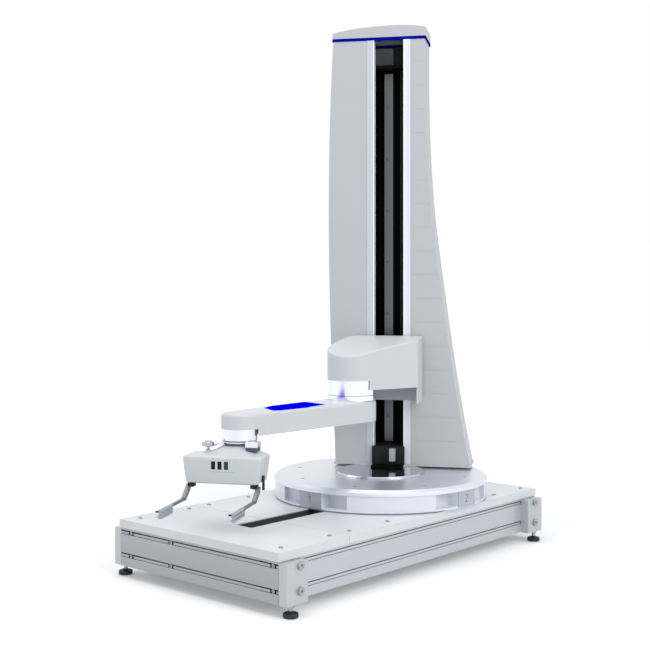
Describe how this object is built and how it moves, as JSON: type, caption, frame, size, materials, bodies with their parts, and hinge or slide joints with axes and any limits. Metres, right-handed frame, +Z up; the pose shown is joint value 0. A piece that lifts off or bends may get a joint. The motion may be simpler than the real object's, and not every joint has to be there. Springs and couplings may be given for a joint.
{
  "type": "microplate mover robot",
  "caption": "Bench robot arm on a turning tower that lifts and carries microplates between docks with a two-finger gripper, on a slotted-profile base.",
  "frame": {"origin": "on the bench under the middle of the base", "axes": "+X across the base, +Y along the base towards the tower, +Z up"},
  "size_m": [0.4864, 0.9545, 1.1763],
  "materials": {
    "anodised_profile": "satin clear anodised",
    "tray_sheet": "satin light grey paint",
    "cast_dock": "satin silver white",
    "polished_disc": "polished and turned",
    "tower_grey": "satin light grey paint",
    "strip_light": "satin, very light",
    "cover_white": "satin light grey, nearly white",
    "deep_blue": "satin blue",
    "bright_blue": "satin bright blue",
    "black_metal": "black, slightly glossy",
    "ground_steel": "ground",
    "rail_steel": "blackened and ground",
    "motor_dark": "dark grey enamel",
    "copper_core": "lacquered iron and copper",
    "foot_black": "matt black",
    "trough_grey": "matt dark grey",
    "pad_grey": "matt light grey",
    "window_dark": "dark green tinted"
  },
  "bodies": {
    "base": {"side_profile_left": "anodised_profile", "side_profile_right": "anodised_profile", "end_profile_front": "anodised_profile", "end_profile_rear": "anodised_profile", "cross_beams": "anodised_profile", "tray_front": "tray_sheet", "tray_rear": "tray_sheet", "cable_trough": "trough_grey", "tray_screws": "ground_steel", "foot_brackets": "anodised_profile", "frame_screws": "ground_steel", "slot_nuts": "ground_steel", "foot_nuts": "ground_steel", "dock_base": "cast_dock", "disc_plate": "polished_disc", "disc_screws": "ground_steel", "number_plates": "tray_sheet", "bearing_outer": "ground_steel", "turn_stator": "copper_core"},
    "foot_fl": {"foot_front_left": "foot_black"},
    "foot_fr": {"foot_front_right": "foot_black"},
    "foot_rl": {"foot_rear_left": "foot_black"},
    "foot_rr": {"foot_rear_right": "foot_black"},
    "tower": {"bearing_inner": "ground_steel", "turn_rotor": "motor_dark", "hub_disc": "polished_disc", "tower_foot": "tower_grey", "tower_wings": "tower_grey", "rear_cover": "tower_grey", "cap_stripe": "deep_blue", "tower_cap": "tower_grey", "mast": "black_metal", "slot_strips": "strip_light", "lift_rail": "rail_steel", "lower_screw_block": "black_metal", "upper_screw_plate": "black_metal", "lift_motor": "motor_dark"},
    "screw": {"lift_screw": "ground_steel"},
    "carriage": {"carriage_cover": "cover_white", "carriage_bracket": "tower_grey", "rail_blocks": "ground_steel", "screw_nut": "ground_steel", "shoulder_ring": "polished_disc", "shoulder_motor": "motor_dark"},
    "arm": {"shoulder_collar": "polished_disc", "arm_shell": "cover_white", "arm_floor": "cover_white", "arm_panel": "bright_blue", "wrist_housing": "polished_disc", "wrist_motor": "motor_dark"},
    "gripper": {"tool_flange": "polished_disc", "gripper_cover": "cover_white", "gripper_chassis": "black_metal", "gripper_windows": "window_dark"},
    "knob": {"clamp_knob": "polished_disc"},
    "lever": {"release_lever": "black_metal"},
    "left_finger": {"finger_left": "ground_steel", "pad_left": "pad_grey"},
    "right_finger": {"finger_right": "ground_steel", "pad_right": "pad_grey"}
  },
  "joints": [
    {"name": "level_fl", "type": "hinge", "parent": "base", "child": "foot_fl", "pos_m": [-0.2282, -0.4027, 0], "axis": [0, 0, 1], "continuous": true},
    {"name": "level_rl", "type": "hinge", "parent": "base", "child": "foot_rl", "pos_m": [-0.2282, 0.4027, 0], "axis": [0, 0, 1], "continuous": true},
    {"name": "level_fr", "type": "hinge", "parent": "base", "child": "foot_fr", "pos_m": [0.2282, -0.4027, 0], "axis": [0, 0, 1], "continuous": true},
    {"name": "level_rr", "type": "hinge", "parent": "base", "child": "foot_rr", "pos_m": [0.2282, 0.4027, 0], "axis": [0, 0, 1], "continuous": true},
    {"name": "tower_turn", "type": "hinge", "parent": "base", "child": "tower", "pos_m": [0, 0.1307, 0], "axis": [0, 0, 1], "range_deg": [-170, 170]},
    {"name": "screw_turn", "type": "hinge", "parent": "tower", "child": "screw", "pos_m": [-0.03915, 0.26051, 0], "axis": [0, 0, 1], "continuous": true},
    {"name": "lift", "type": "slide", "parent": "tower", "child": "carriage", "axis": [0, 0, 1], "range_m": [-0.04, 0.61]},
    {"name": "shoulder", "type": "hinge", "parent": "carriage", "child": "arm", "pos_m": [-0.0033, 0.03642, 0.311], "axis": [0, 0, 1], "range_deg": [-60, 90]},
    {"name": "wrist", "type": "hinge", "parent": "arm", "child": "gripper", "pos_m": [-0.0033, -0.30158, 0.29], "axis": [0, 0, 1], "range_deg": [-100, 100]},
    {"name": "knob_turn", "type": "hinge", "parent": "gripper", "child": "knob", "pos_m": [-0.04512, -0.34647, 0.275], "axis": [0, 0, 1], "continuous": true},
    {"name": "lever_swing", "type": "hinge", "parent": "gripper", "child": "lever", "pos_m": [0.07403, -0.31709, 0.217], "axis": [0.8829, 0.4695, 0], "range_deg": [-20, 20]},
    {"name": "finger_left_slide", "type": "slide", "parent": "gripper", "child": "left_finger", "axis": [0.8829, 0.4695, 0], "range_m": [0, 0.012]},
    {"name": "finger_right_slide", "type": "slide", "parent": "gripper", "child": "right_finger", "axis": [-0.8829, -0.4695, 0], "range_m": [0, 0.012]}
  ],
  "couplings": [
    {"joint": "screw_turn", "follows": "lift", "rad_per_m": 314.16},
    {"joint": "finger_right_slide", "follows": "finger_left_slide", "ratio": 1}
  ]
}
